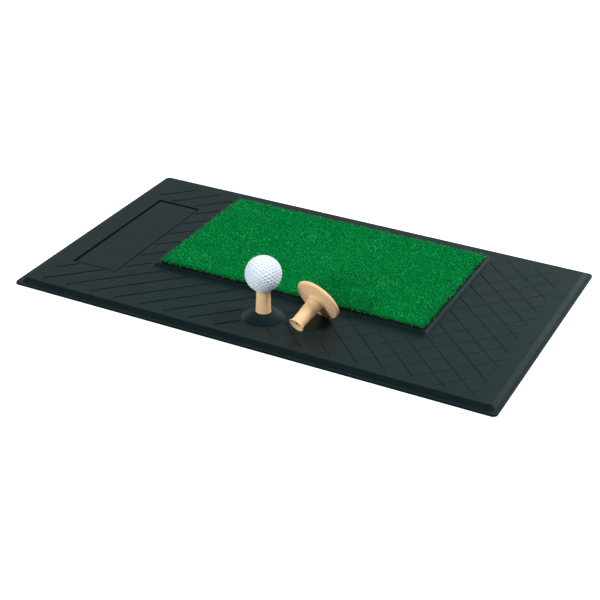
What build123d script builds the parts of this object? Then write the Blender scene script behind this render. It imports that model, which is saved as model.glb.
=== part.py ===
"""Golf hitting mat: a moulded rubber base with a glued turf panel, two rubber tees and a ball.

Millimetres, +Z up. The origin is on the floor under the middle of the base: +X runs along the
long side, +Y from the front edge, where the tee stands, to the back edge.
"""

import math
import os

from build123d import *

# Rubber base
BASE_LENGTH = 617.0
BASE_WIDTH = 353.5
LIP_CORNER = 6.0
LIP_HEIGHT = 2.6
LIP_WIDTH = 4.5
EDGE_RUN = 5.0
PLATEAU_Z = 7.5
EDGE_CORNER = 7.5
SHOULDER_FILLET = 2.0
LIP_FILLET = 0.8

# Name-plate recess: a blank panel inside a channel that runs all round it, wider on the left and back
RECESS_CENTRE = (-241.0, -3.5)
RECESS_SIZE = (62.5, 202.5)
RECESS_CORNER = 2.0
CHANNEL_DEPTH = 3.4
CHANNEL_WIDTH = 2.8
PANEL_SHIFT = (0.8, -0.8)
PANEL_DEPTH = 0.6

# Raised platform that carries the turf
PLATFORM_CENTRE = (2.1, 41.5)
PLATFORM_FOOT = (364.2, 219.0)
PLATFORM_HEIGHT = 3.0
PLATFORM_RUN = 2.4
PLATFORM_CORNER = 5.0
PLATFORM_FILLET = 0.9
PLATFORM_Z = PLATEAU_Z + PLATFORM_HEIGHT

# Turf panel, from the glue up
TURF_CENTRE = (4.5, 38.5)
TURF_SIZE = (350.0, 200.0)
TURF_CORNER = 1.5
GLUE_INSET = 3.0
GLUE_THICKNESS = 0.4
FOAM_THICKNESS = 1.4
BACKING_THICKNESS = 0.6
PILE_HEIGHT = 4.8

# Tee, on its own axis from the flange's underside to the rim of the cup. FLARE is a point of the
# stem's flare as (radius, height), CUP_WALL one of the cup's wall as (radius, depth below the rim).
TEE_HEIGHT = 43.8
FLANGE_RADIUS = 29.2
FLANGE_EDGE = 2.4
FLANGE_ROOT_Z = 5.4
ROOT_FILLET = 3.0
SEAT_RADIUS = 9.65
SEAT_TOP_Z = 12.6
STEM_BASE_RADIUS = 8.95
STEM_NECK_RADIUS = 8.1
STEM_BASE_Z = 15.6
NECK_Z = 38.3
FLARE = (8.6, 41.6)
RIM_RADIUS = 9.65
RIM_ROUND = 0.6
CUP_RADIUS = 8.7
CUP_DEPTH = 2.8
CUP_WALL = (6.9, 1.9)
BORE_RADIUS = 4.0

# Hole, dome and pocket that hold the tee
TEE_AXIS = (1.3, -115.0)
TEE_HOLE_RADIUS = 9.75
COUNTERSINK_DEPTH = 3.3
DOME_RADIUS = 26.0
DOME_TOP_Z = 15.6
DOME_FLAT_RADIUS = 11.0
POCKET_RADIUS = FLANGE_RADIUS + 0.4
POCKET_DEPTH = FLANGE_ROOT_Z + 0.35

# Ball
BALL_RADIUS = 42.67 / 2
COVER_THICKNESS = 2.1
CORE_GAP = 0.05

# Spare tee, lying on its flange's edge and its rim
SPARE_HEADING = 254.8
SPARE_CONTACT = (64.1, -82.6)

# Clearance between pieces that only touch
REST_GAP = 0.3

# Lattice of grooves at 45 degrees in the top of the base; each groove is (half width, depth)
GROOVE_PITCH = 34.0
GROOVE_PHASE = 17.0
GROOVE_FIELD = ((-280.0, 280.0), (-159.0, 150.0))
LEFT_GROOVE = (1.5, 0.8)
RIGHT_GROOVE = (0.8, 0.8)
FAINT_GROOVE = (1.0, 0.25)
GROOVE_MARGIN = 3.0
GROOVE_SHORTEST = 6.0


def rounded_slab(size, centre, corner, bottom_z, height, taper=0.0):
    """A rounded rectangle raised from bottom_z, its sides leaning in by taper degrees."""
    outline = Pos(centre[0], centre[1], bottom_z) * RectangleRounded(*size, corner)
    return extrude(outline, height, taper=taper)


def edges_at(shape, z):
    """The edges of shape that lie flat at height z."""
    return [e for e in shape.edges() if abs(e.bounding_box().min.Z - z) < 1e-4
            and abs(e.bounding_box().max.Z - z) < 1e-4]


def base_blank():
    """Lip, sloping edge and plateau, with a soft shoulder all round."""
    lip = rounded_slab((BASE_LENGTH, BASE_WIDTH), (0, 0), LIP_CORNER, 0, LIP_HEIGHT)
    lip = fillet(edges_at(lip, LIP_HEIGHT), LIP_FILLET)
    rise = PLATEAU_Z - LIP_HEIGHT
    slab_size = (BASE_LENGTH - 2 * LIP_WIDTH, BASE_WIDTH - 2 * LIP_WIDTH)
    lean = math.degrees(math.atan2(EDGE_RUN, rise))
    slab = rounded_slab(slab_size, (0, 0), EDGE_CORNER, LIP_HEIGHT, rise, lean)
    slab = fillet(edges_at(slab, PLATEAU_Z), SHOULDER_FILLET)
    return lip + slab


def turf_platform():
    """Low platform with sloping sides, sunk a little into the plateau so that the two fuse."""
    lean = math.degrees(math.atan2(PLATFORM_RUN, PLATFORM_HEIGHT))
    top = rounded_slab(PLATFORM_FOOT, PLATFORM_CENTRE, PLATFORM_CORNER, PLATEAU_Z,
                       PLATFORM_HEIGHT, lean)
    top = fillet(edges_at(top, PLATFORM_Z), PLATFORM_FILLET)
    root = rounded_slab(PLATFORM_FOOT, PLATFORM_CENTRE, PLATFORM_CORNER, PLATEAU_Z - 1, 1)
    return top + root


def tee_dome():
    """Low boss round the tee's hole: a convex cone that flattens towards the hole."""
    foot = (DOME_RADIUS, PLATEAU_Z)
    crown = (DOME_FLAT_RADIUS, DOME_TOP_Z)
    rise = DOME_TOP_Z - PLATEAU_Z
    middle = ((DOME_RADIUS + DOME_FLAT_RADIUS) / 2, PLATEAU_Z + 0.62 * rise)
    side = ThreePointArc(foot, middle, crown)
    rest = Polyline(crown, (0, DOME_TOP_Z), (0, PLATEAU_Z - 1), (DOME_RADIUS, PLATEAU_Z - 1), foot)
    profile = make_face(Plane.XZ * (side + rest))
    return Pos(*TEE_AXIS, 0) * revolve(profile, Axis.Z)


def line_span_in_box(slope, offset, box):
    """The x span where the line y = slope * x + offset runs inside a box, or None."""
    (x0, x1), (y0, y1) = box
    crossings = sorted(((y0 - offset) / slope, (y1 - offset) / slope))
    low, high = max(x0, crossings[0]), min(x1, crossings[1])
    return (low, high) if high > low else None


def line_span_in_circle(slope, offset, centre, radius):
    """The x span where the line runs inside a circle, or None."""
    a = 1 + slope * slope
    b = 2 * (slope * (offset - centre[1]) - centre[0])
    c = centre[0] ** 2 + (offset - centre[1]) ** 2 - radius ** 2
    root = b * b - 4 * a * c
    if root <= 0:
        return None
    return ((-b - math.sqrt(root)) / (2 * a), (-b + math.sqrt(root)) / (2 * a))


def grown_box(centre, size, margin):
    """The box round a rectangle, as ((x0, x1), (y0, y1)), grown by margin."""
    half_x, half_y = size[0] / 2 + margin, size[1] / 2 + margin
    return ((centre[0] - half_x, centre[0] + half_x), (centre[1] - half_y, centre[1] + half_y))


def groove_runs(slope, offset, field):
    """The x spans of one groove inside its field, clear of the recess, platform and dome."""
    span = line_span_in_box(slope, offset, field)
    spans = [span] if span else []
    keep_out = [
        line_span_in_box(slope, offset, grown_box(RECESS_CENTRE, RECESS_SIZE, GROOVE_MARGIN)),
        line_span_in_box(slope, offset, grown_box(PLATFORM_CENTRE, PLATFORM_FOOT, GROOVE_MARGIN)),
        line_span_in_circle(slope, offset, TEE_AXIS, DOME_RADIUS + GROOVE_MARGIN),
    ]
    for low, high in filter(None, keep_out):
        pieces = [(a, min(b, low)) for a, b in spans] + [(max(a, high), b) for a, b in spans]
        spans = [(a, b) for a, b in pieces if b > a]
    return [(a, b) for a, b in spans if b - a > GROOVE_SHORTEST]


def groove(slope, offset, span, half_width, depth):
    """A V-section cutter along one span of a groove, open at the plateau."""
    start = Vector(span[0], slope * span[0] + offset, PLATEAU_Z)
    end = Vector(span[1], slope * span[1] + offset, PLATEAU_Z)
    along = (end - start).normalized()
    across = Vector(-along.Y, along.X, 0)
    above = 0.2
    flare = half_width * (1 + above / depth)
    section = Plane(start, x_dir=across, z_dir=along) * Polygon(
        (-flare, above), (flare, above), (0, -depth), align=None)
    return extrude(section, (end - start).length, dir=along)


def groove_family(slope, field, half_width, depth):
    """All the grooves of one direction in a field."""
    count = int((BASE_LENGTH + BASE_WIDTH) / GROOVE_PITCH)
    cutters = []
    for i in range(-count, count):
        offset = GROOVE_PHASE + i * GROOVE_PITCH
        for span in groove_runs(slope, offset, field):
            cutters.append(groove(slope, offset, span, half_width, depth))
    return cutters


def groove_lattice():
    """Rising grooves on the left half; on the right half falling ones cross fainter rising ones."""
    (x0, x1), rows = GROOVE_FIELD
    left, right = ((x0, 0.0), rows), ((0.0, x1), rows)
    return (groove_family(1, left, *LEFT_GROOVE)
            + groove_family(-1, right, *RIGHT_GROOVE)
            + groove_family(1, right, *FAINT_GROOVE))


def name_plate_recess():
    """What is cut away for the name plate: its channel, and a thin layer over the blank panel."""
    panel_size = tuple(side - 2 * CHANNEL_WIDTH for side in RECESS_SIZE)
    channel = rounded_slab(RECESS_SIZE, RECESS_CENTRE, RECESS_CORNER,
                           PLATEAU_Z - CHANNEL_DEPTH, CHANNEL_DEPTH + 1)
    panel_centre = (RECESS_CENTRE[0] + PANEL_SHIFT[0], RECESS_CENTRE[1] + PANEL_SHIFT[1])
    panel = rounded_slab(panel_size, panel_centre, RECESS_CORNER / 2,
                         PLATEAU_Z - CHANNEL_DEPTH, CHANNEL_DEPTH - PANEL_DEPTH)
    return channel - panel


def rubber_base():
    """The moulded base with its platform, dome, recess, grooves and the tee's pocket and hole."""
    body = base_blank() + turf_platform() + tee_dome()
    body -= name_plate_recess()
    body -= Pos(*TEE_AXIS, POCKET_DEPTH / 2) * Cylinder(POCKET_RADIUS, POCKET_DEPTH)
    body -= Pos(*TEE_AXIS, DOME_TOP_Z / 2) * Cylinder(TEE_HOLE_RADIUS, DOME_TOP_Z + 1)
    body -= Pos(*TEE_AXIS, POCKET_DEPTH + COUNTERSINK_DEPTH / 2) * Cone(
        TEE_HOLE_RADIUS + COUNTERSINK_DEPTH, TEE_HOLE_RADIUS, COUNTERSINK_DEPTH)
    body = fillet([e for e in edges_at(body, DOME_TOP_Z) if e.length < 70], 0.4)
    return body - groove_lattice()


def turf_layer(bottom_z, thickness, inset=0.0):
    """One layer of the turf panel."""
    size = (TURF_SIZE[0] - 2 * inset, TURF_SIZE[1] - 2 * inset)
    return rounded_slab(size, TURF_CENTRE, TURF_CORNER, bottom_z, thickness)


def tee_body():
    """A mushroom of rubber: round-edged flange, filleted root, tapering stem and flared cup."""
    edge_in = FLANGE_RADIUS - FLANGE_EDGE
    edge_top = 2 * FLANGE_EDGE
    root_out = SEAT_RADIUS + ROOT_FILLET
    seat_foot = FLANGE_ROOT_Z + ROOT_FILLET
    slant = ROOT_FILLET * (1 - math.sqrt(0.5))
    rim_in = RIM_RADIUS - RIM_ROUND
    profile = Line((BORE_RADIUS, 0), (edge_in, 0))
    profile += ThreePointArc((edge_in, 0), (FLANGE_RADIUS, FLANGE_EDGE), (edge_in, edge_top))
    profile += Line((edge_in, edge_top), (root_out, FLANGE_ROOT_Z))
    profile += ThreePointArc((root_out, FLANGE_ROOT_Z),
                             (SEAT_RADIUS + slant, FLANGE_ROOT_Z + slant),
                             (SEAT_RADIUS, seat_foot))
    profile += Line((SEAT_RADIUS, seat_foot), (SEAT_RADIUS, SEAT_TOP_Z))
    profile += Line((SEAT_RADIUS, SEAT_TOP_Z), (STEM_BASE_RADIUS, STEM_BASE_Z))
    profile += Line((STEM_BASE_RADIUS, STEM_BASE_Z), (STEM_NECK_RADIUS, NECK_Z))
    profile += Spline((STEM_NECK_RADIUS, NECK_Z), FLARE,
                      (RIM_RADIUS, TEE_HEIGHT - RIM_ROUND),
                      tangents=[(-0.04, 1), (0.12, 1)])
    profile += ThreePointArc((RIM_RADIUS, TEE_HEIGHT - RIM_ROUND), (rim_in, TEE_HEIGHT),
                             (CUP_RADIUS, TEE_HEIGHT - RIM_ROUND))
    profile += ThreePointArc((CUP_RADIUS, TEE_HEIGHT - RIM_ROUND),
                             (CUP_WALL[0], TEE_HEIGHT - CUP_WALL[1]),
                             (BORE_RADIUS, TEE_HEIGHT - CUP_DEPTH))
    profile += Line((BORE_RADIUS, TEE_HEIGHT - CUP_DEPTH), (BORE_RADIUS, 0))
    return revolve(make_face(Plane.XZ * profile), Axis.Z)


def ball_centre_z():
    """Height of the ball's centre when it sits in the cup of the upright tee."""
    seat_radius = CUP_RADIUS + 0.15
    return TEE_HEIGHT - RIM_ROUND / 2 + math.sqrt(BALL_RADIUS ** 2 - seat_radius ** 2) + REST_GAP


def spare_tee():
    """The second tee, tipped over so that its flange's edge and its rim both touch the base."""
    flange_r, flange_z = FLANGE_RADIUS - FLANGE_EDGE, FLANGE_EDGE
    rim_r, rim_z = RIM_RADIUS - RIM_ROUND, TEE_HEIGHT - RIM_ROUND
    gap = math.hypot(flange_r - rim_r, rim_z - flange_z)
    dip = math.atan2(flange_r - rim_r, rim_z - flange_z)
    dip += math.asin((FLANGE_EDGE - RIM_ROUND) / gap)
    tipped = Rot(0, 0, SPARE_HEADING) * Rot(0, 90 + math.degrees(dip), 0) * tee_body()
    heading = math.radians(SPARE_HEADING)
    reach = math.sin(dip) * flange_r - math.cos(dip) * flange_z
    lift = PLATEAU_Z + REST_GAP - tipped.bounding_box().min.Z
    return Pos(SPARE_CONTACT[0] + reach * math.cos(heading),
               SPARE_CONTACT[1] + reach * math.sin(heading), lift) * tipped


def build():
    """Every piece by name, each where it sits on the assembled mat."""
    foam_z = PLATFORM_Z + GLUE_THICKNESS
    backing_z = foam_z + FOAM_THICKNESS
    pile_z = backing_z + BACKING_THICKNESS
    ball = Pos(*TEE_AXIS, ball_centre_z())
    core_radius = BALL_RADIUS - COVER_THICKNESS
    return {
        "rubber_base": rubber_base(),
        "turf_adhesive": turf_layer(PLATFORM_Z, GLUE_THICKNESS, GLUE_INSET),
        "turf_foam_backing": turf_layer(foam_z, FOAM_THICKNESS),
        "turf_primary_backing": turf_layer(backing_z, BACKING_THICKNESS),
        "turf_pile": turf_layer(pile_z, PILE_HEIGHT),
        "tee": Pos(*TEE_AXIS, 0) * tee_body(),
        "spare_tee": spare_tee(),
        "ball_cover": ball * (Sphere(BALL_RADIUS) - Sphere(core_radius)),
        "ball_core": ball * Sphere(core_radius - CORE_GAP),
    }


os.makedirs("parts", exist_ok=True)
for name, solid in build().items():
    export_step(solid, f"parts/{name}.step")
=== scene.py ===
"""Looks of the golf hitting mat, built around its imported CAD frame. Metres, in the frame's own axes:
+X runs along the mat's long side, +Y from the edge with the tee to the back edge, and +Z is up."""

import math

import bpy
import numpy as np
from mathutils import Matrix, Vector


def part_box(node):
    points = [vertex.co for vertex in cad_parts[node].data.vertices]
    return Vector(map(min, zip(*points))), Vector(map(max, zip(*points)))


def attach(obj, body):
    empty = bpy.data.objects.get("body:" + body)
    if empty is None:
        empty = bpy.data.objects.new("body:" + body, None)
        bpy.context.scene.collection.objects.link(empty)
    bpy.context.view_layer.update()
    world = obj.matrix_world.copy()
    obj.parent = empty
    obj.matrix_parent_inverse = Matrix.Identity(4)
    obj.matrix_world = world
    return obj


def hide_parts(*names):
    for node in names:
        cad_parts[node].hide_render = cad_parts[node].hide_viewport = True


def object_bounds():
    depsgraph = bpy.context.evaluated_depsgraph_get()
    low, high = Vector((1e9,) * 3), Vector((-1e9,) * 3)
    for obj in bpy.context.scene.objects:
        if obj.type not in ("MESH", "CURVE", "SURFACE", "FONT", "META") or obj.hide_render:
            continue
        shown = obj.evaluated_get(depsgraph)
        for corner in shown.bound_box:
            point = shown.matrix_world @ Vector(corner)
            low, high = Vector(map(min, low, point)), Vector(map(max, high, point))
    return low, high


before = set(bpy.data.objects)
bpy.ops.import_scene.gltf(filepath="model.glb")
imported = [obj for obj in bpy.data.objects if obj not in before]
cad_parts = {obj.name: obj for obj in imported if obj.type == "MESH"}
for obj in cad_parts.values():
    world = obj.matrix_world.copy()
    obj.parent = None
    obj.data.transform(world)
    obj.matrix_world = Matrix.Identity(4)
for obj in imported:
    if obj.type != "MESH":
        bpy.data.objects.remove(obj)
cad_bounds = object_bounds()

MM = 0.001

# Camera: where the photograph was taken from, in metres and degrees, and its lens in millimetres
CAMERA_AIM = (0.0155, -0.0490, 0.0)
CAMERA_DISTANCE = 1.6284
CAMERA_AZIMUTH = 26.5
CAMERA_ELEVATION = 29.26
CAMERA_ROLL = 0.82
CAMERA_LENS = 81.83

# Studio
FLOOR_SIZE = 14.0
FLOOR_DROP = 0.1 * MM
FLOOR_COLOUR = (0.40, 0.50, 0.55)
FLOOR_GLOW = 0.9
ROOM_COLOUR = (0.97, 1.0, 1.03)
ROOM_BASE_LIGHT = 0.05
# Each glow: azimuth and elevation in degrees, strength and sharpness
ROOM_GLOWS = [(164, 15, 1.32, 7.0), (214, 26, 0.10, 8.0)]
# Glows of the same kind that only reflections see, so that the rubber has a sheen from other sides
MIRRORED_GLOWS = [(45, 15, 0.8, 8.0), (246, 16, 0.85, 12.0)]
# Each softbox: azimuth and elevation in degrees, distance and width in metres, and power in watts
SOFTBOXES = {"softbox_main": (116, 60, 2.3, 0.6, 52),
             "softbox_left": (-26, 26, 2.4, 0.5, 40),
             "softbox_right": (60, 40, 2.4, 0.9, 5)}

# Tufts: their rows, the least and most that each leans, and the least and most that each stands, as
# shares of the pile's height
SEED = 20
STITCH_PITCH = 2.5 * MM
ROW_PITCH = 3.0 * MM
TUFT_JITTER = 0.6 * MM
TUFT_RADIUS = 1.1 * MM
TUFT_LEAN = (0.2 * MM, 1.6 * MM)
TUFT_HEIGHT = (0.78, 1.04)
# Fibres: how far each spreads and curls, its rise as a share of its tuft's height and its droop as a
# share of its rise, where along it the four points lie, how far the curl swings at each, and its
# radius at the first three
FIBRES_IN_TUFT = 8
FIBRE_SPREAD = (0.3 * MM, 1.9 * MM)
FIBRE_CURL = 1.1 * MM
FIBRE_RISE = (0.72, 1.0)
FIBRE_DROOP = (-0.25, 0.35)
FIBRE_STEPS = (0.0, 0.38, 0.74, 1.0)
FIBRE_SWINGS = (0.0, 1.0, -0.7, 0.5)
FIBRE_RADII = (0.22 * MM, 0.21 * MM, 0.16 * MM)
# Shades, from 0, dark, to 1: the middle one, how much tufts and fibres differ from it, the lightest
# green, the pale fibres as painted glints, and what each of a fibre's four points adds as painted
# shade
SHADE_MIDDLE = 0.50
SHADE_OF_TUFTS = 0.05
SHADE_OF_FIBRES = 0.25
SHADE_LIGHTEST = 0.86
SHADE_PAINTED_GLINT = 1.3
PAINTED_GLINT_SHARE = 0.012
PAINTED_SHADE_ALONG = (-0.42, -0.10, 0.06, 0.12)
# The panel's edge, where fibres lean outwards, at least by a share of FRINGE_REACH, and hang over
EDGE_INSET = 1.2 * MM
EDGE_WIDTH = 5.0 * MM
FRINGE_LEAST = 0.3
FRINGE_REACH = 3.0 * MM
FRINGE_HANG = 2.6 * MM
TURF_STRIPS = 8
# Thatch: the heights are shares of the pile's height
THATCH_INSET = 0.8 * MM
THATCH_STEP = 1.25 * MM
THATCH_HEIGHT = (0.28, 0.62)
THATCH_RIM_HEIGHT = 0.25

# Ball: how often the icosahedron's edges are halved, how the ball is turned about X and Y, in radians,
# how many rows of dimples divide each of the icosahedron's faces, and how steep a dimple's wall is
BALL_HALVINGS = 6
BALL_TURN = (0.5, 0.3)
DIMPLE_FREQUENCY = 6
DIMPLE_WIDTH = 3.75 * MM
DIMPLE_DEPTH = 0.7 * MM
DIMPLE_WALL = 1.5


# Materials --------------------------------------------------------------------------------------

def feed(tree, socket, value):
    """Gives a socket its value, or links it when the value is another node's output."""
    if isinstance(value, bpy.types.NodeSocket):
        tree.links.new(value, socket)
    else:
        socket.default_value = value


def add_node(tree, kind, inputs=None, **settings):
    """A new node, with its settings, and its inputs given as values or as other nodes' outputs."""
    made = tree.nodes.new(kind)
    for key, value in settings.items():
        setattr(made, key, value)
    for socket, value in (inputs or {}).items():
        feed(tree, made.inputs[socket], value)
    return made


class Finish:
    """A Principled material, with short calls for the nodes that the finishes share."""

    def __init__(self, name, constants=None):
        self.material = bpy.data.materials.new(name)
        self.material.use_nodes = True
        self.tree = self.material.node_tree
        self.shader = self.tree.nodes["Principled BSDF"]
        self.place = self.node("ShaderNodeTexCoord").outputs["Object"]
        for socket, value in (constants or {}).items():
            self.shader.inputs[socket].default_value = value

    def node(self, kind, inputs=None, **settings):
        return add_node(self.tree, kind, inputs, **settings)

    def noise(self, size, detail=2.0, roughness=0.5, stretch=(1, 1, 1)):
        """Noise with features of about size metres, made longer by stretch along each axis."""
        shape = tuple(1 / s for s in stretch)
        place = self.node("ShaderNodeMapping", {"Vector": self.place, "Scale": shape})
        inputs = {"Vector": place.outputs["Vector"], "Scale": 1 / size, "Detail": detail,
                  "Roughness": roughness}
        return self.node("ShaderNodeTexNoise", inputs).outputs["Fac"]

    def ramp(self, factor, stops):
        """A colour ramp through (place, colour) stops."""
        made = self.node("ShaderNodeValToRGB", {"Fac": factor})
        elements = made.color_ramp.elements
        while len(elements) < len(stops):
            elements.new(0.5)
        for element, (place, colour) in zip(elements, stops):
            element.position = place
            element.color = (*colour, 1)
        return made.outputs["Color"]

    def spread(self, value, low, high, start=0.3, end=0.7):
        """Value between start and end, mapped to low and high."""
        inputs = {"Value": value, "From Min": start, "From Max": end, "To Min": low,
                  "To Max": high}
        return self.node("ShaderNodeMapRange", inputs).outputs["Result"]

    def maths(self, operation, a, b):
        return self.node("ShaderNodeMath", {0: a, 1: b}, operation=operation).outputs[0]

    def blend(self, factor, a, b):
        """Colour a, turning into colour b as the factor grows."""
        inputs = {"Factor": factor, "A": a, "B": b}
        made = self.node("ShaderNodeMix", data_type="RGBA")
        for name, value in inputs.items():
            socket = next(s for s in made.inputs if s.name == name and s.enabled)
            feed(self.tree, socket, (*value, 1) if isinstance(value, tuple) else value)
        return next(s for s in made.outputs if s.enabled)

    def openness(self, reach):
        """1 where the surface is open for reach metres around it, down to 0 deep in a hole."""
        inputs = {"Distance": reach}
        return self.node("ShaderNodeAmbientOcclusion", inputs, only_local=True).outputs["AO"]

    def bump(self, height, depth, strength=1.0, under=None):
        """A bump of depth metres, on top of the bump under."""
        inputs = {"Height": height, "Distance": depth, "Strength": strength}
        if under is not None:
            inputs["Normal"] = under
        return self.node("ShaderNodeBump", inputs).outputs["Normal"]

    def done(self, colour, roughness, normal):
        """Links what varies over the surface to the shader."""
        for socket, value in (("Base Color", colour), ("Roughness", roughness), ("Normal", normal)):
            feed(self.tree, self.shader.inputs[socket], value)
        return self.material


def base_rubber():
    """Black moulded rubber: greenish blue-black, with a satin skin, cloudy marks and a fine grain."""
    f = Finish("base_rubber", {"Specular IOR Level": 0.41, "Specular Tint": (0.54, 1.0, 0.96, 1)})
    clouds = f.noise(0.11, detail=4)
    streaks = f.noise(0.012, detail=3, stretch=(5, 1, 1))
    specks = f.noise(1.1 * MM, detail=3)
    colour = f.ramp(clouds, [(0.3, (0.004, 0.009, 0.010)), (0.7, (0.006, 0.013, 0.014))])
    colour = f.blend(f.spread(specks, 0, 0.5, 0.55, 0.75), colour, (0.02, 0.028, 0.028))
    roughness = f.maths("ADD", f.spread(clouds, 0.36, 0.44), f.spread(streaks, -0.03, 0.05))
    normal = f.bump(f.noise(0.02, detail=3), 0.12 * MM)
    normal = f.bump(specks, 0.03 * MM, 0.6, normal)
    return f.done(colour, roughness, normal)


def tee_rubber():
    """Natural tan rubber: matt, a little translucent, cloudy and porous, with painted shade in its
    hollows.
    """
    f = Finish("tee_rubber", {"Subsurface Weight": 0.12, "Subsurface Scale": 4 * MM,
                              "Subsurface Radius": (1.0, 0.5, 0.25)})
    clouds = f.noise(9 * MM, detail=3)
    pores = f.noise(0.7 * MM, detail=3)
    colour = f.ramp(clouds, [(0.3, (0.84, 0.57, 0.30)), (0.7, (0.88, 0.61, 0.34))])
    colour = f.blend(f.spread(pores, 0, 0.35, 0.58, 0.75), colour, (0.70, 0.44, 0.20))
    # Painted shade: darker brown wherever the tee closes round its own surface, as in the cup, the
    # bore and the stem's root.
    painted_shade = f.spread(f.openness(8 * MM), 1, 0, 0.35, 0.78)
    colour = f.blend(painted_shade, colour, (0.05, 0.02, 0.006))
    normal = f.bump(f.noise(4 * MM), 0.05 * MM)
    normal = f.bump(pores, 0.02 * MM, 0.6, normal)
    return f.done(colour, f.spread(clouds, 0.46, 0.56), normal)


def turf_yarn():
    """Curled nylon yarn: painted shade dark at its root, each fibre with its own green, and a few pale
    ones as painted glints.
    """
    f = Finish("turf_yarn", {"Specular IOR Level": 0.03})
    shade = f.node("ShaderNodeAttribute", attribute_name="yarn_shade").outputs["Fac"]
    patches = f.noise(0.03, detail=3)
    tone = f.maths("ADD", shade, f.spread(patches, -0.06, 0.06))
    root, middle, tip = (0.0003, 0.05, 0.010), (0.0010, 0.275, 0.057), (0.004, 0.61, 0.126)
    # The pale green stands for painted glints on a few fibres.
    pale = (0.24, 0.95, 0.50)
    colour = f.ramp(tone, [(0.05, root), (0.40, middle), (0.85, tip), (0.95, tip), (1.0, pale)])
    roughness = f.spread(shade, 0.55, 0.34, 0.2, 0.95)
    return f.done(colour, roughness, f.bump(f.noise(0.4 * MM), 0.05 * MM))


def turf_thatch():
    """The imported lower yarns, in the shade of the ones above them."""
    f = Finish("turf_thatch", {"Specular IOR Level": 0.03})
    clumps = f.noise(1.6 * MM, detail=3)
    colour = f.ramp(clumps, [(0.35, (0.0003, 0.045, 0.010)), (0.7, (0.001, 0.20, 0.042))])
    return f.done(colour, f.spread(clumps, 0.7, 0.55), f.bump(clumps, 0.6 * MM))


def woven_backing():
    """Black woven tape fabric."""
    f = Finish("woven_backing")
    across = f.node("ShaderNodeTexWave", {"Vector": f.place, "Scale": 180, "Distortion": 0.6},
                    bands_direction="X").outputs["Fac"]
    along = f.node("ShaderNodeTexWave", {"Vector": f.place, "Scale": 120, "Distortion": 0.6},
                   bands_direction="Y").outputs["Fac"]
    weave = f.maths("MULTIPLY", across, along)
    colour = f.ramp(weave, [(0.1, (0.008, 0.010, 0.009)), (0.9, (0.04, 0.045, 0.042))])
    return f.done(colour, f.spread(weave, 0.6, 0.4, 0, 1), f.bump(weave, 0.15 * MM))


def foam_backing():
    """Dark green latex foam with open pores."""
    f = Finish("foam_backing")
    pores = f.noise(0.9 * MM, detail=4, roughness=0.7)
    colour = f.ramp(pores, [(0.35, (0.004, 0.008, 0.005)), (0.65, (0.016, 0.026, 0.018))])
    return f.done(colour, f.spread(pores, 0.9, 0.75), f.bump(pores, 0.25 * MM))


def glue_film():
    """Black contact glue, rolled on in streaks."""
    f = Finish("adhesive")
    streaks = f.noise(5 * MM, detail=3, stretch=(6, 1, 1))
    colour = f.ramp(streaks, [(0.3, (0.012, 0.012, 0.010)), (0.7, (0.035, 0.033, 0.027))])
    return f.done(colour, f.spread(streaks, 0.25, 0.45), f.bump(streaks, 0.1 * MM))


def ball_urethane():
    """White painted urethane under a clear lacquer, scuffed, with painted shade inside its dimples."""
    f = Finish("ball_cover", {"Coat Weight": 0.6, "Coat Roughness": 0.12})
    scuffs = f.noise(2.5 * MM, detail=5, roughness=0.65)
    colour = f.ramp(scuffs, [(0.25, (0.75, 0.80, 0.87)), (0.5, (0.79, 0.84, 0.91))])
    # Painted shade: the cover turns darker and bluer towards the bottom of each dimple.
    hollow = f.node("ShaderNodeAttribute", attribute_name="dimple_hollow").outputs["Fac"]
    colour = f.blend(f.spread(hollow, 0, 0.42, 0.2, 1), colour, (0.50, 0.60, 0.74))
    return f.done(colour, f.spread(scuffs, 0.42, 0.30), f.bump(scuffs, 0.01 * MM, 0.5))


def ball_rubber():
    """The core's blue-green rubber, as moulded."""
    f = Finish("ball_core")
    clouds = f.noise(4 * MM, detail=4)
    colour = f.ramp(clouds, [(0.3, (0.02, 0.11, 0.16)), (0.7, (0.03, 0.16, 0.22))])
    return f.done(colour, f.spread(clouds, 0.5, 0.65), f.bump(clouds, 0.05 * MM))


# Meshes -----------------------------------------------------------------------------------------

def new_piece(name, points, faces, material):
    """A smooth mesh object from an array of points and an array of faces with equal side counts."""
    mesh = bpy.data.meshes.new(name)
    sides = faces.shape[1]
    mesh.vertices.add(len(points))
    mesh.vertices.foreach_set("co", points.astype(np.float32).ravel())
    mesh.loops.add(faces.size)
    mesh.loops.foreach_set("vertex_index", faces.astype(np.int32).ravel())
    mesh.polygons.add(len(faces))
    mesh.polygons.foreach_set("loop_start", np.arange(0, faces.size, sides, dtype=np.int32))
    mesh.polygons.foreach_set("use_smooth", np.ones(len(faces), bool))
    mesh.update(calc_edges=True)
    mesh.validate()
    mesh.materials.append(material)
    piece = bpy.data.objects.new(name, mesh)
    bpy.context.scene.collection.objects.link(piece)
    return piece


def float_attribute(piece, name, values):
    """Stores one number at each point of a piece, for its material to read."""
    attribute = piece.data.attributes.new(name, "FLOAT", "POINT")
    attribute.data.foreach_set("value", values.astype(np.float32))


def icosphere(level):
    """Points on the unit sphere and triangles of an icosahedron halved level times."""
    bpy.ops.mesh.primitive_ico_sphere_add(subdivisions=level + 1, radius=1)
    source = bpy.context.object
    points = np.array([v.co for v in source.data.vertices])
    faces = np.array([p.vertices for p in source.data.polygons])
    mesh = source.data
    bpy.data.objects.remove(source)
    bpy.data.meshes.remove(mesh)
    return points / np.linalg.norm(points, axis=1, keepdims=True), faces


def dimple_centres(frequency):
    """Unit vectors of the dimples: an icosahedron's faces divided into frequency rows."""
    corners, faces = icosphere(0)
    centres = []
    for face in faces:
        a, b, c = corners[face]
        for i in range(frequency + 1):
            for j in range(frequency + 1 - i):
                point = (a * i + b * j + c * (frequency - i - j)) / frequency
                centres.append(point / np.linalg.norm(point))
    centres = np.array(centres)
    _, first = np.unique(centres.round(5), axis=0, return_index=True)
    return centres[np.sort(first)]


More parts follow.
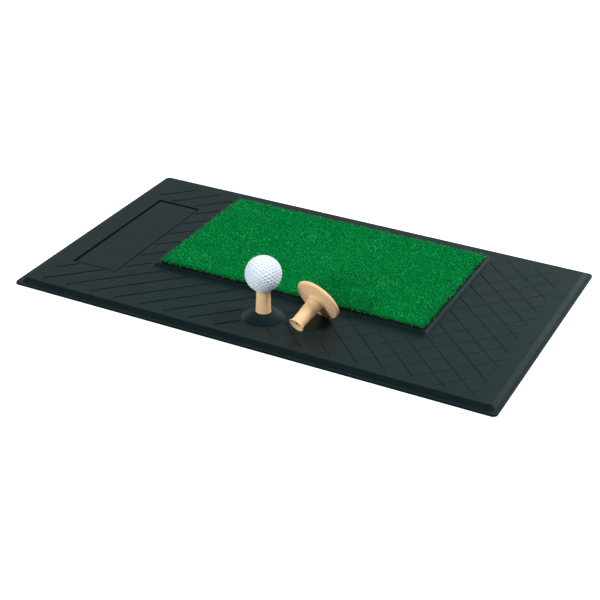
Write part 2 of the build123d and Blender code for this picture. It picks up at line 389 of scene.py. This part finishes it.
def ball_piece():
    """The ball's cover with its dimples, turned so that no row of them lies level."""
    low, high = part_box("ball_cover")
    centre, radius = (low + high) / 2, (high.x - low.x) / 2
    points, faces = icosphere(BALL_HALVINGS)
    nearest = (points @ dimple_centres(DIMPLE_FREQUENCY).T).max(axis=1)
    reach = np.arccos(np.clip(nearest, -1, 1)) * radius / (DIMPLE_WIDTH / 2)
    hollow = np.clip(DIMPLE_WALL * (1 - reach ** 2), 0, 1)
    points = points * (radius - DIMPLE_DEPTH * hollow)[:, None]
    turn = Matrix.Rotation(BALL_TURN[0], 3, "X") @ Matrix.Rotation(BALL_TURN[1], 3, "Y")
    points = points @ np.array(turn).T + np.array(centre)
    piece = new_piece("ball_dimpled", points, faces, ball_urethane())
    float_attribute(piece, "dimple_hollow", hollow)
    return piece


def tuft_roots(rng):
    """Where each tuft comes through the backing, in rows along X with a little jitter."""
    low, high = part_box("turf_pile")
    width, depth = high.x - low.x - 2 * EDGE_INSET, high.y - low.y - 2 * EDGE_INSET
    along = np.linspace(0, width, round(width / STITCH_PITCH) + 1) + low.x + EDGE_INSET
    across = np.linspace(0, depth, round(depth / ROW_PITCH) + 1) + low.y + EDGE_INSET
    grid = np.stack(np.meshgrid(along, across), -1).reshape(-1, 2)
    return grid + rng.uniform(-TUFT_JITTER, TUFT_JITTER, grid.shape)


def edge_pull(roots):
    """How strongly the tufts lean outwards: nothing inside, and 1 at the panel's own edge."""
    low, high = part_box("turf_pile")
    pull = np.zeros_like(roots)
    for axis in (0, 1):
        pull[:, axis] += np.clip(1 - (high[axis] - roots[:, axis]) / EDGE_WIDTH, 0, 1)
        pull[:, axis] -= np.clip(1 - (roots[:, axis] - low[axis]) / EDGE_WIDTH, 0, 1)
    return pull


def fibre_lines(rng):
    """Four points along each curled fibre, with its shade: arrays of (fibres, 4, 3) and (fibres,)."""
    low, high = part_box("turf_pile")
    roots = tuft_roots(rng)
    count = len(roots)
    tuft_angle = rng.uniform(0, 2 * math.pi, count)
    tuft_lean = rng.uniform(*TUFT_LEAN, count)
    lean = np.stack([np.cos(tuft_angle), np.sin(tuft_angle)], -1) * tuft_lean[:, None]
    lean += edge_pull(roots) * rng.uniform(FRINGE_LEAST, 1, (count, 1)) * FRINGE_REACH
    tall = (high.z - low.z) * rng.uniform(*TUFT_HEIGHT, count)
    tuft_shade = rng.normal(0, SHADE_OF_TUFTS, count)

    pick = np.repeat(np.arange(count), FIBRES_IN_TUFT)
    fibres = len(pick)
    angle = rng.uniform(0, 2 * math.pi, fibres)
    out = np.stack([np.cos(angle), np.sin(angle)], -1)
    side = np.stack([-np.sin(angle), np.cos(angle)], -1)
    spread = rng.uniform(*FIBRE_SPREAD, (fibres, 1))
    curl = rng.uniform(-FIBRE_CURL, FIBRE_CURL, (fibres, 1))
    start = roots[pick] + out * TUFT_RADIUS * rng.uniform(0, 1, (fibres, 1)) ** 0.5
    end = start + lean[pick] + out * spread
    rise = tall[pick] * rng.uniform(*FIBRE_RISE, fibres)
    droop = rng.uniform(*FIBRE_DROOP, fibres) * rise
    hang = np.linalg.norm(edge_pull(start), axis=1) ** 2 * rng.uniform(0, 1, fibres)
    droop = np.maximum(droop, hang * (rise + FRINGE_HANG))

    lines = np.empty((fibres, 4, 3))
    for k, (t, swing) in enumerate(zip(FIBRE_STEPS, FIBRE_SWINGS)):
        lines[:, k, :2] = start + (end - start) * t ** 1.2 + side * curl * swing
        lines[:, k, 2] = low.z + rise * t
        lines[:, k, 2] -= np.clip(droop, 0, None) * t ** 2
    shade = SHADE_MIDDLE + tuft_shade[pick] + rng.normal(0, SHADE_OF_FIBRES, fibres)
    shade = np.minimum(shade, SHADE_LIGHTEST)
    # Painted glints: a few fibres get the palest green.
    shade[rng.uniform(0, 1, fibres) < PAINTED_GLINT_SHARE] = SHADE_PAINTED_GLINT
    return lines, shade


def tubes(lines, radii):
    """Three-sided tubes along each line of points, closed at the root and tapering to a point."""
    aslant = (0.31, 0.22, 0.92)
    count, rings = lines.shape[0], lines.shape[1] - 1
    points = np.empty((count, rings * 3 + 1, 3))
    along = np.gradient(lines, axis=1)
    along /= np.linalg.norm(along, axis=2, keepdims=True)
    across = np.cross(along, aslant)
    across /= np.linalg.norm(across, axis=2, keepdims=True)
    upward = np.cross(across, along)
    for ring in range(rings):
        for corner in range(3):
            angle = corner * 2 * math.pi / 3
            offset = across[:, ring] * math.cos(angle) + upward[:, ring] * math.sin(angle)
            points[:, ring * 3 + corner] = lines[:, ring] + offset * radii[ring]
    points[:, -1] = lines[:, -1]
    faces = [(2, 1, 0)]
    for ring in range(rings - 1):
        for corner in range(3):
            a, b = ring * 3 + corner, ring * 3 + (corner + 1) % 3
            faces += [(a, b, b + 3), (a, b + 3, a + 3)]
    top = (rings - 1) * 3
    faces += [(top + corner, top + (corner + 1) % 3, rings * 3) for corner in range(3)]
    size = points.shape[1]
    every = np.array(faces)[None] + (np.arange(count) * size)[:, None, None]
    return points.reshape(-1, 3), every.reshape(-1, 3)


def turf_pieces():
    """The yarn, in strips from left to right so that each mesh stays a fair size."""
    rng = np.random.default_rng(SEED)
    lines, shade = fibre_lines(rng)
    low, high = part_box("turf_pile")
    strip = ((lines[:, 0, 0] - low.x) / (high.x - low.x) * TURF_STRIPS).astype(int)
    strip = np.clip(strip, 0, TURF_STRIPS - 1)
    material = turf_yarn()
    # Painted shade and light along each fibre: darker at the root, lighter at the tip.
    painted_root_to_tip = np.repeat(PAINTED_SHADE_ALONG, (3, 3, 3, 1))
    pieces = []
    for k in range(TURF_STRIPS):
        chosen = strip == k
        points, faces = tubes(lines[chosen], FIBRE_RADII)
        piece = new_piece(f"turf_yarn_{k + 1}", points, faces, material)
        float_attribute(piece, "yarn_shade", (shade[chosen][:, None] + painted_root_to_tip[None]).ravel())
        pieces.append(piece)
    return pieces


def thatch_piece():
    """A closed slab with a lumpy top, where the yarns are too dense to tell apart."""
    low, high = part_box("turf_pile")
    rng = np.random.default_rng(SEED + 1)
    nx = round((high.x - low.x - 2 * THATCH_INSET) / THATCH_STEP) + 1
    ny = round((high.y - low.y - 2 * THATCH_INSET) / THATCH_STEP) + 1
    x = np.linspace(low.x + THATCH_INSET, high.x - THATCH_INSET, nx)
    y = np.linspace(low.y + THATCH_INSET, high.y - THATCH_INSET, ny)
    top = np.stack(np.meshgrid(x, y, indexing="ij"), -1)
    level = low.z + (high.z - low.z) * rng.uniform(*THATCH_HEIGHT, (nx, ny))
    rim = np.ones((nx, ny), bool)
    rim[1:-1, 1:-1] = False
    level[rim] = low.z + (high.z - low.z) * THATCH_RIM_HEIGHT
    upper = np.concatenate([top, level[..., None]], -1).reshape(-1, 3)
    lower = upper.copy()
    lower[:, 2] = low.z
    index = np.arange(nx * ny).reshape(nx, ny)
    a, b, c, d = index[:-1, :-1], index[1:, :-1], index[1:, 1:], index[:-1, 1:]
    faces = np.stack([a, b, c, d], -1).reshape(-1, 4)
    ring = np.concatenate([index[:, 0], index[-1, 1:], index[-2::-1, -1], index[0, -2:0:-1]])
    following = np.roll(ring, -1)
    count = nx * ny
    under = faces[:, ::-1] + count
    walls = np.stack([ring + count, following + count, following, ring], -1)
    return new_piece("turf_thatch", np.concatenate([upper, lower]),
                     np.concatenate([faces, under, walls]), turf_thatch())


# Studio -----------------------------------------------------------------------------------------

def look_from(azimuth, elevation, distance, aim, roll=0.0):
    """A matrix at distance from aim that looks at it, azimuth counted from -Y towards +X."""
    turn = (Matrix.Rotation(math.radians(azimuth), 4, "Z")
            @ Matrix.Rotation(math.radians(90 - elevation), 4, "X")
            @ Matrix.Rotation(math.radians(roll), 4, "Z"))
    return Matrix.Translation(aim) @ turn @ Matrix.Translation((0, 0, distance))


def towards(azimuth, elevation):
    """The unit vector at an azimuth, counted from -Y towards +X, and an elevation."""
    a, e = math.radians(azimuth), math.radians(elevation)
    return (math.sin(a) * math.cos(e), -math.cos(a) * math.cos(e), math.sin(e))


def softbox(name, azimuth, elevation, distance, width, power):
    """A square soft light on the mat, left out of reflections so that the rubber mirrors the room."""
    light = bpy.data.lights.new(name, "AREA")
    light.size = width
    light.energy = power
    lamp = bpy.data.objects.new(name, light)
    bpy.context.scene.collection.objects.link(lamp)
    lamp.visible_glossy = False
    lamp.matrix_world = look_from(azimuth, elevation, distance, (0, 0, 0))


def room():
    """A dim room whose light swells towards each glow, and which the camera sees plain white."""
    world = bpy.data.worlds.new("studio")
    world.use_nodes = True
    tree = world.node_tree

    def maths(operation, *inputs):
        return add_node(tree, "ShaderNodeMath", dict(enumerate(inputs)),
                        operation=operation).outputs[0]

    place = add_node(tree, "ShaderNodeTexCoord").outputs["Generated"]
    rays = add_node(tree, "ShaderNodeLightPath").outputs
    glows = list(ROOM_GLOWS)
    for azimuth, elevation, strength, sharpness in MIRRORED_GLOWS:
        mirrored = maths("MULTIPLY", rays["Is Glossy Ray"], strength)
        glows.append((azimuth, elevation, mirrored, sharpness))
    total = ROOM_BASE_LIGHT
    for azimuth, elevation, strength, sharpness in glows:
        facing = add_node(tree, "ShaderNodeVectorMath", {0: place, 1: towards(azimuth, elevation)},
                          operation="DOT_PRODUCT").outputs["Value"]
        lobe = maths("POWER", maths("MAXIMUM", facing, 0.0), sharpness)
        total = maths("MULTIPLY_ADD", lobe, strength, total)
    dim = tree.nodes["Background"]
    dim.inputs["Color"].default_value = (*ROOM_COLOUR, 1)
    tree.links.new(total, dim.inputs["Strength"])
    white = add_node(tree, "ShaderNodeBackground", {"Color": (1, 1, 1, 1), "Strength": 1.0})
    both = add_node(tree, "ShaderNodeMixShader",
                    {0: rays["Is Camera Ray"], 1: dim.outputs[0], 2: white.outputs[0]})
    tree.links.new(both.outputs[0], tree.nodes["World Output"].inputs["Surface"])
    bpy.context.scene.world = world


def paper_floor():
    """A pale floor that the camera sees nearly white, and that reflections don't see."""
    half = FLOOR_SIZE / 2
    level = cad_bounds[0][2] - FLOOR_DROP
    points = np.array([(-half, -half, level), (half, -half, level), (half, half, level),
                       (-half, half, level)])
    paper = Finish("floor_paper", {"Base Color": (*FLOOR_COLOUR, 1), "Emission Color": (1, 1, 1, 1)})
    seen = paper.node("ShaderNodeLightPath").outputs["Is Camera Ray"]
    glow = paper.maths("MULTIPLY", seen, FLOOR_GLOW)
    feed(paper.tree, paper.shader.inputs["Emission Strength"], glow)
    floor = new_piece("floor", points, np.array([[0, 1, 2, 3]]), paper.material)
    floor.visible_glossy = False


def studio():
    """The room, the floor and the softboxes: a high one on the right and lower ones at the front."""
    room()
    for name, placed in SOFTBOXES.items():
        softbox(name, *placed)
    paper_floor()
    bpy.context.scene.view_settings.view_transform = "Standard"


def camera():
    """The camera, where the photograph's stood."""
    data = bpy.data.cameras.new("camera")
    data.lens = CAMERA_LENS
    data.clip_end = 50
    made = bpy.data.objects.new("camera", data)
    bpy.context.scene.collection.objects.link(made)
    made.matrix_world = look_from(CAMERA_AZIMUTH, CAMERA_ELEVATION, CAMERA_DISTANCE,
                                  CAMERA_AIM, CAMERA_ROLL)
    bpy.context.scene.camera = made


# The model --------------------------------------------------------------------------------------

def dress(node, material):
    """Gives a carried-over CAD node its finish."""
    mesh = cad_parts[node].data
    mesh.materials.clear()
    mesh.materials.append(material)


camera()
studio()

dress("rubber_base", base_rubber())
tan = tee_rubber()
dress("tee", tan)
dress("spare_tee", tan)
dress("turf_adhesive", glue_film())
dress("turf_foam_backing", foam_backing())
dress("turf_primary_backing", woven_backing())
dress("ball_core", ball_rubber())

ball = ball_piece()
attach(ball, "ball")
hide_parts("ball_cover")

for piece in [thatch_piece(), *turf_pieces()]:
    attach(piece, "mat")
    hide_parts("turf_pile")
